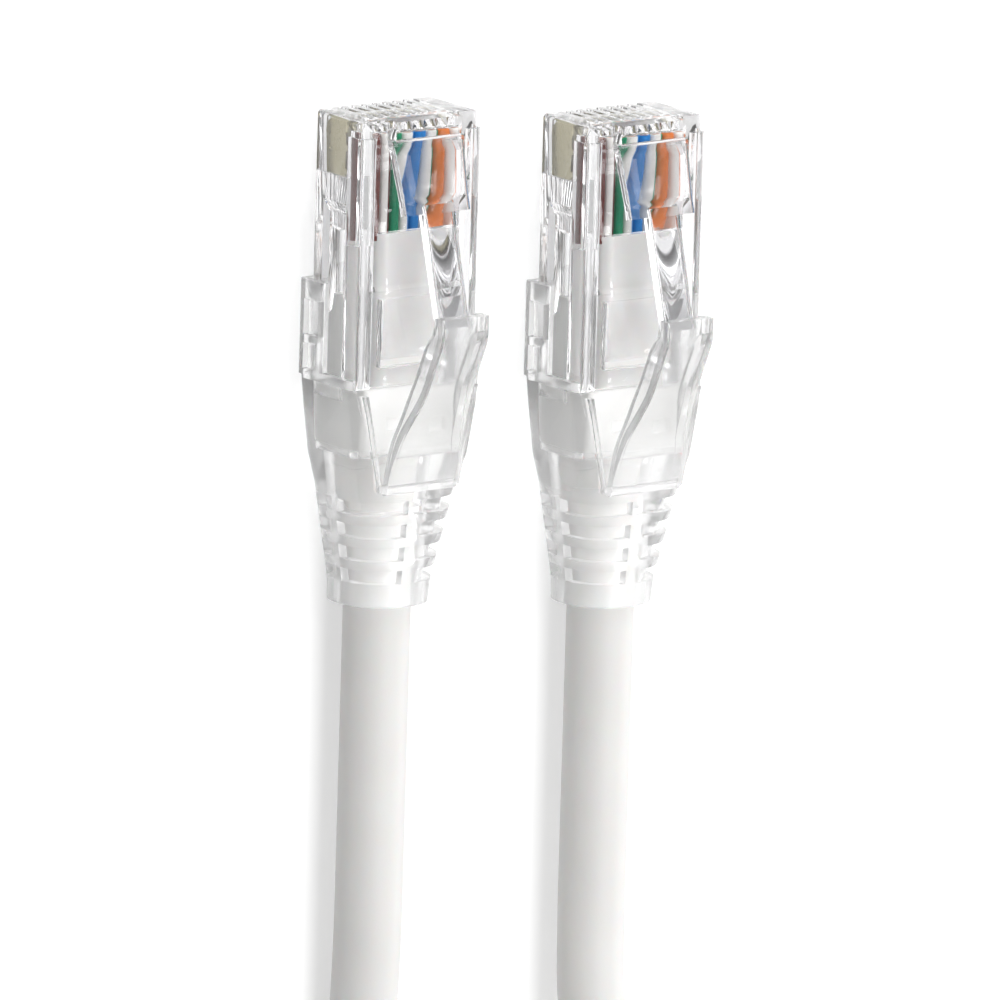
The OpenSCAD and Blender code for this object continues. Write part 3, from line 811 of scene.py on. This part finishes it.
def housing_mesh():
    """The clear plug body. A lofted outer form is joined with the key block, and the contact
    slots, wire channel, jacket cavity, strain relief pocket and side panels are cut out."""
    p = sizes("plug")
    total, face, wire_z, half_w = p["length"], p["face"], p["wire_z"], p["body_w"] / 2
    rings = plug_outline([0, 0.04, 0.1, 0.2, 0.3, 1.4, 1.4, total], [0, 0, 0, 0, 0, 0, 1, 1])
    body = scratch(skin(rings), "housing")
    add(body, block(6.4, 0.02, KEY_L, face - 1, face + KEY_UP))
    # The latch face lies a little lower behind the nose rim, between the rails
    rim, low = face - 0.02, face - 0.35
    dip = [[2, face + 1], [2, rim], [2.5, low], [13.6, low], [14, rim], [14, face + 1]]
    cut(body, prism(dip, -4.4, 4.4))
    # Contact slots, open at the nose and on the contact side
    slot = [[-1, -1], [5.1, -1], [5.1, wire_z], [0.65, wire_z], [0.65, 2.6], [-1, 2.6]]
    cut(body, joined([moved(prism(slot, -0.22, 0.22), contact_x(i)) for i in WIRES]))
    # Wire channel, flat above and below the row of wires
    r = p["wire_d"] / 2 + 0.05
    cut(body, block(len(WIRES) * p["pitch"] + 0.1, 1.2, 10.4, wire_z - r, wire_z + r))
    # Jacket cavity, with its mouth flared a little
    s = [9.3, 9.6, total - 0.6, total + 0.5]
    form = ([3.9, 4.05, 4.05, 4.25], [1.9, 2.05, 2.05, 2.2], [1.7, 1.85, 1.85, 1.95])
    cut(body, skin(round_rect_rings(s, *form, 3.35)))
    # Strain relief pocket
    cut(body, block(6.6, 14.7, 20.3, 4.9, face + 2))
    # Side panels with a sloped front end: how far out from the side, and how far behind the nose
    panel = [[1, 7], [-0.02, 7], [-0.7, 8.2], [-0.7, total + 1], [1, total + 1]]
    for side in (-1, 1):
        cut(body, prism([[side * (half_w + out), s] for out, s in panel], 1.3, 4.6, "z"))
    # Seat of the latch root
    root_r = p["latch_t"] / 2
    cut(body, cross_rod(root_r + 0.05, 7.4, KEY_L, face + KEY_UP - root_r))
    # Strain relief bar
    bar = [[14.4, 5.45], [14.4, 6.15], [18.7, 6.15], [19.7, 5.8], [19.7, 5.45]]
    add(body, prism(bar, -3.1, 3.1))
    soften(body, p["edge"])
    return take_mesh(body)


class HOUSING_OT_patch(bpy.types.Operator):
    """Make the two clear plug bodies"""

    bl_idname = "patch.housings"
    bl_label = "Plug bodies"

    def execute(self, context):
        names = ("plug_body", "cable", clear_polycarbonate(), "clear_polycarbonate")
        place_ends(housing_mesh(), *names, "housing_{end}")
        return {"FINISHED"}


# ---- latch


class LATCH_OT_patch(bpy.types.Operator):
    """Make the two locking tabs"""

    bl_idname = "patch.latches"
    bl_label = "Latch tabs"

    def execute(self, context):
        p = sizes("plug")
        t = p["latch_t"]
        # Stations along the plate and along the arm behind it: how far out and half width, then
        # underside and top in thicknesses
        plate = [[s, w, -0.5, 0.5] for s, w in ((0, 3.5), (1, 3.42), (4.3, 3.22), (5.8, 3.2))]
        arm = [[5.1, 1.5, -0.46, 0.9], [7, 1.45, -0.46, 0.9], [p["latch_l"], 1.4, -0.46, 0.85]]
        solids = []
        for rows in (plate, arm):
            s, w, low, high = np.array(rows, float).T
            low, high = low * t, high * t
            solids.append(skin(round_rect_rings(s, w, (high - low) / 2, 0.12, (high + low) / 2, 4)))
        slope = [[4.4, 0.2 * t], [5.3, 0.86 * t], [5.6, 0.86 * t], [5.6, 0.2 * t]]
        tab = scratch(solids[0], "latch")
        add(tab, cross_rod(t / 2, 7, 0, 0), solids[1], prism(slope, -1.4, 1.4))
        soften(tab, 0.08)
        mesh = take_mesh(tab)
        root = Matrix.Translation((0, -KEY_L, p["face"] + KEY_UP - t / 2))
        mesh.transform(root @ Matrix.Rotation(-p["latch_angle"], 4, "X"))
        names = ("latch", "latch_{end}", clear_polycarbonate(), "clear_polycarbonate")
        place_ends(mesh, *names, "latch_tab_{end}")
        return {"FINISHED"}


# ---- contacts and wires


class CONTACT_OT_patch(bpy.types.Operator):
    """Make the sixteen contact blades"""

    bl_idname = "patch.contacts"
    bl_label = "Contact blades"

    def execute(self, context):
        p = sizes("plug")
        front, blade_l, back, low, high, nose_r = 0.7, 4.6, 5.05, 0.35, 3.0, 0.8
        angle = np.radians(np.linspace(0, 90, 10))
        s, z = front + nose_r * (1 - cos(angle)), low + nose_r * (1 - sin(angle))
        # Two tips that pierce the wire, the rear one first
        tips = []
        for share in (0.85, 0.45):
            tip_s = front + blade_l * share
            tips += [[tip_s + 0.25, high], [tip_s, p["wire_z"] - 0.28], [tip_s - 0.25, high]]
        nose = np.stack([s, z], -1)
        outline = np.vstack([nose, [[back, low], [back, high]], tips, [[front, high]]])
        plating = plated_metal("stamped gold-plated bronze", "gold", 0.3)
        for i in WIRES:
            blade = scratch(prism(outline, -p["blade_t"] / 2, p["blade_t"] / 2), "blade")
            soften(blade, 0.05)
            mesh = take_mesh(blade)
            mesh.transform(Matrix.Translation((contact_x(i), 0, 0)))
            names = (f"blade_{i}", "cable", plating, "gold_contact")
            place_ends(mesh, *names, f"contact_{i}_{{end}}")
        return {"FINISHED"}


class WIRE_OT_patch(bpy.types.Operator):
    """Make the sixteen insulated wires and finish their copper cores"""

    bl_idname = "patch.wires"
    bl_label = "Wires"

    def execute(self, context):
        p = sizes("plug")
        r, z, bore = p["wire_d"] / 2, p["wire_z"], 0.27
        # Down the bore from the middle, out round the front end and back along the outside
        s = [5, 1.32, 1.3, 1.36, 1.5, 3, 5, 7, 9, 10, 10]
        radius = np.array([bore, bore, r - 0.06] + 7 * [r] + [bore])
        for i, (tint, stripe) in WIRES.items():
            name = f"{tint}_{stripe}" if stripe else tint
            rings = round_rect_rings(s, radius, radius, radius * 0.999, z, 7, contact_x(i))
            mesh = new_mesh("wire", skin(np.concatenate([rings, rings[:1]]), caps=False))
            layer = mesh.uv_layers.new(name="round")
            co = places(mesh)
            loops = np.zeros(len(mesh.loops), int)
            mesh.loops.foreach_get("vertex_index", loops)
            turn = np.arctan2(co[:, 2] - z, co[:, 0] - contact_x(i)) / (2 * pi) % 1
            layer.data.foreach_set("uv", np.stack([turn[loops], -co[loops, 1] / 10], -1).ravel())
            names = (f"insulation_{i}", "cable", insulation(name, tint, stripe))
            place_ends(mesh, *names, f"{name}_insulation", f"wire_{i}_{{end}}", angle=60)
        copper = plated_metal("drawn bare copper", "copper", 0.35)
        for end in ENDS:
            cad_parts[f"wire_cores_{end}"].material_slots[0].material = copper
        return {"FINISHED"}


# ---- boot

# Where the jacket turns from flat to round and the rings that it needs there, the back end of the
# frosted core, the floor of the trough under the lever, the lever's root (behind the nose and
# up), and how far the boot stands out from the plug's side, in millimetres
NARROWING = (21.2, 28.2)
JACKET_RINGS = np.array([20.8, 21.8, 23.3, 24.8, 26.3, 27.9, 28.4])
CORE_END = 27.5
TROUGH = 6.95
LEVER_ROOT = (30.0, 7.45)
BOOT_WALL = 0.85


def jacket_tube(s, grow, n):
    """The jacket at distances s behind the nose, or what it lies in, which is wider by grow on
    every side. Half width, half height, corner radius and centre height ease from those of the
    flat jacket in the plug to those of the round one in the boot."""
    turn = ramp(s, NARROWING, [0, 1])[:, None]
    d = sizes("cord")["diameter"] / 2
    flat = np.array([4.0, 2.0, 1.9, 3.35])
    full = np.array([d, d, d - 0.01, sizes("boot")["axis_z"]])
    form = flat * (1 - turn) + full * turn
    form[:, :3] += np.reshape(grow, (-1, 1))
    return skin(round_rect_rings(s, *form.T, n))


class JACKET_OT_patch(bpy.types.Operator):
    """Make the flattened jacket ends inside the plugs and boots"""

    bl_idname = "patch.jackets"
    bl_label = "Jacket ends"

    def execute(self, context):
        end = sizes("boot")["end"]
        s = np.array([9.42, 9.42, 9.4, 9.5, *np.linspace(12, 20, 4), *JACKET_RINGS, 35, end])
        # The cut end has a soft edge
        grow = np.zeros(len(s))
        grow[:3] = -1.2, -0.35, -0.1
        mesh = new_mesh("jacket_end", jacket_tube(s, grow, 12))
        place_ends(mesh, "jacket", "cable", jacket_pvc(), "white_jacket", "jacket_end_{end}")
        return {"FINISHED"}


def boot_outer(inset=0.0):
    """Rings of the boot's outer form: half width, half height, corner radius and centre height
    run straight between a few stations behind the nose. An inset makes all but the last smaller."""
    b = sizes("boot")
    tail, axis_z = b["tail_d"] / 2, b["axis_z"]
    half_w = sizes("plug")["body_w"] / 2 + BOOT_WALL
    stations = [
        [21.0, half_w, 3.55, 0.7, 3.05],
        [24.0, half_w - 0.25, 3.8, 1.1, 3.15],
        [28.0, half_w - 0.75, 4.15, 1.9, 3.05],
        [30.6, tail + 1.3, tail + 0.5, 2.9, 2.8],
        [b["end"] - 1.8, tail + 0.1, tail + 0.1, tail - 0.35, axis_z + 0.1],
        [b["end"], tail, tail, tail - 0.4, axis_z],
    ]
    at, *columns = (np.array(stations) - [0, inset, inset, inset, 0]).T
    s = np.unique([*at, *np.linspace(22, b["end"] - 0.3, 12)])
    return round_rect_rings(s, *(np.interp(s, at, column) for column in columns), 12)


def flex_slots():
    """The shapes that cut the tail's flex slots: four rows of blocks as deep as the tail's wall,
    which leave a thin spine at the latch side and at each side, and the contact side whole."""
    b = sizes("boot")
    half_l, wall, spine, w = b["slot_l"] / 2, 0.75, 0.65, 9.35
    parts = []
    for k in range(4):
        s = 31.8 + k * b["slot_pitch"]
        middle = 2.6 - 0.1 * k
        parts += [
            block(w, s - half_l, s + half_l, z0, z1, side * (spine + w / 2))
            for side in (-1, 1)
            for z0, z1 in ((-0.3, middle - 0.5), (middle + 0.5, 12))
        ]
    slots = scratch(joined(parts), "slots")
    cut(slots, skin(boot_outer(wall)))
    mesh = take_mesh(slots)
    part = places(mesh), [list(face.vertices) for face in mesh.polygons]
    bpy.data.meshes.remove(mesh)
    return part


def boot_mesh():
    """The boot's clear shell. A lofted form is joined with the ears and the trough's guards, and
    the mouth, the seat of the core, the bore, the trough and the flex slots are cut out."""
    half_w = sizes("plug")["body_w"] / 2 + BOOT_WALL
    shell = scratch(skin(boot_outer()), "boot")
    add(shell, skin(round_rect_rings([13.7, 21.5], half_w, 1.6, 0.3, 1.1, 4)))
    cut(shell, block(11.85, 12.7, 21.85, -0.05, 14))
    # Two windows in each ear
    for side in (-1, 1):
        for s0, s1, top in ((15.3, 18.2, 2.2), (18.9, 21.0, 1.5)):
            cut(shell, block(1.6, s0, s1, 0.2, top, side * (half_w + 0.3)))
    # Trough under the lever, with a thin guard along each side of it
    plan = [[-5.475, 20], [5.475, 20], [3.8, 29], [3.8, 30], [-3.8, 30], [-3.8, 29]]
    cut(shell, prism(plan, TROUGH, 14, "z"))
    guard = [[5.15, 22.2], [5.6, 22.2], [3.95, 30.2], [3.5, 30.2]]
    for side in (-1, 1):
        add(shell, prism([[side * x, s] for x, s in guard], 5.5, LEVER_ROOT[1], "z"))
    # Seat of the core and its tongues, then the jacket's way through
    seat = round_rect_rings([20.9, CORE_END - 0.05], 4.95, 2.85, 0.5, 3.5, 6)
    cut(shell, block(11.3, 20.9, 22.9, 1.25, 4.65), skin(seat))
    bore = round_rect_rings([28.2, 41.2], 2.8, 2.8, 2.8, sizes("boot")["axis_z"], 12)
    cut(shell, jacket_tube(JACKET_RINGS[3:], 0.15, 8), skin(bore))
    cut(shell, flex_slots(), cross_rod(0.5, 7.6, *LEVER_ROOT))
    soften(shell, 0.09, angle=38)
    return take_mesh(shell)


def core_mesh():
    """The frosted inner moulding: a block round the jacket with soft back edges, and two tongues
    that reach forward along the plug's side panels."""
    s = [21.95, 26.7, 27.2, 27.45, CORE_END]
    form = ([5, 5, 4.85, 4.6, 4.3], [2.9, 2.9, 2.75, 2.5, 2.2], [0.5, 0.5, 0.7, 0.8, 0.8])
    core = scratch(skin(round_rect_rings(s, *form, 3.5, 6)), "core")
    tongue = [
        [14.5, 2.9], [14.5, 4.0], [15.0, 4.55], [22.7, 4.55], [22.7, 1.35], [19.3, 1.35],
        [19.1, 2.0], [18.3, 2.0], [18.1, 1.35], [16.9, 1.35], [15.9, 2.6],
    ]
    for side in (-1, 1):
        add(core, prism(tongue, side * 5.09, side * 5.6))
        add(core, block(1.0, 22.0, 22.7, 1.35, 4.55, side * 5.1))
        cut(core, block(1.5, 24.4, 25.4, 6.1, 7, side * 1.95))
    cut(core, jacket_tube(JACKET_RINGS, 0.12, 8))
    soften(core, 0.1, angle=38)
    return take_mesh(core)


class BOOT_OT_patch(bpy.types.Operator):
    """Make the two boots, each a clear shell round a frosted core"""

    bl_idname = "patch.boots"
    bl_label = "Boots"

    def execute(self, context):
        place_ends(boot_mesh(), "boot_shell", "cable", clear_pvc(), "clear_pvc", "boot_{end}")
        frosted = clear_pvc("moulded frosted soft PVC", "frost", 0.4, 0.5, (0.45, 0.45))
        place_ends(core_mesh(), "boot_core", "cable", frosted, "clear_pvc", "boot_{end}")
        return {"FINISHED"}


def lever_line():
    """The lever's upper side from its tip to its root: distance behind the nose and height, on
    straight stretches whose corners a short average rounds."""
    before = np.array([14.8, 12.9, 7.7, 4.4, 0.6, -0.1])
    over = np.array([5.75, 5.75, 3.5, 1.7, 0.55, 0.42])
    root_s, root_z = LEVER_ROOT
    along = np.linspace(root_s - before[0], root_s - before[-1], 75)
    height = np.interp(along, root_s - before, root_z + over)
    soft = np.convolve(np.pad(height, 2, mode="edge"), np.ones(5) / 5, "valid")
    soft[[0, 1, -2, -1]] = height[[0, 1, -2, -1]]
    return np.stack([along, soft], -1)


class LEVER_OT_patch(bpy.types.Operator):
    """Make the two finger levers of the boots"""

    bl_idname = "patch.levers"
    bl_label = "Boot levers"

    def execute(self, context):
        lever_t, wall = sizes("boot")["lever_t"], 0.75
        line = lever_line()
        way = unit(np.gradient(line, axis=0))
        # Half width, thickness of the plate and depth of the side walls change towards the root
        before = LEVER_ROOT[0] - line[:, 0]
        half = ramp(-before, [-9, -1], [2.3, 3.45])
        thick = ramp(-before, [-4, -0.5], [lever_t, 0.7])
        deep = ramp(-before, [-14.8, -11, -8, -4, -0.5], [1.1, 1.8, 1.8, 1.1, 0.7])
        deep = np.maximum(deep, thick + 0.001)
        # A ring: across and downwards places of a channel section with eight corners
        inner = half - wall
        across = np.stack([-half, half, half, inner, inner, -inner, -inner, -half], 1)
        down = np.stack([0 * half, 0 * half, deep, deep, thick, thick, deep, deep], 1)
        s, z = line[:, :1] + way[:, 1:] * down, line[:, 1:] - way[:, :1] * down
        lever = scratch(skin(np.stack([across, -s, z], -1)), "lever")
        add(lever, cross_rod(0.45, 6.9, *LEVER_ROOT))
        soften(lever, 0.12, 3, 30)
        names = ("lever", "lever_{end}", clear_pvc(), "clear_pvc")
        place_ends(take_mesh(lever), *names, "boot_lever_{end}")
        return {"FINISHED"}


# ---- panel and main


class VIEW3D_PT_patch(bpy.types.Panel):
    """Lists the pieces of the patch cable"""

    bl_label = "Patch cable"
    bl_idname = "VIEW3D_PT_patch"
    bl_space_type = "VIEW_3D"
    bl_region_type = "UI"
    bl_category = "Patch cable"

    def draw(self, context):
        for group in GROUPS:
            box = self.layout.box()
            values = getattr(context.scene, group)
            for key in values.__annotations__:
                box.prop(values, key)
        for operator in OPERATORS:
            self.layout.operator(operator.bl_idname)


OPERATORS = (
    CAMERA_OT_patch,
    CORD_OT_patch,
    STAGE_OT_patch,
    HOUSING_OT_patch,
    LATCH_OT_patch,
    CONTACT_OT_patch,
    WIRE_OT_patch,
    JACKET_OT_patch,
    BOOT_OT_patch,
    LEVER_OT_patch,
)
GROUPS = {
    "patch_plug": PlugSizes,
    "patch_boot": BootSizes,
    "patch_cord": CordSizes,
    "patch_finish": Finishes,
}
CLASSES = (*GROUPS.values(), *OPERATORS, VIEW3D_PT_patch)


def register():
    for one in CLASSES:
        bpy.utils.register_class(one)
    for name, group in GROUPS.items():
        setattr(bpy.types.Scene, name, bpy.props.PointerProperty(type=group))


def unregister():
    for name in GROUPS:
        delattr(bpy.types.Scene, name)
    for one in reversed(CLASSES):
        bpy.utils.unregister_class(one)


def main():
    register()
    for operator in OPERATORS:
        getattr(bpy.ops.patch, operator.bl_idname.split(".")[1])()


if __name__ == "__main__":
    main()
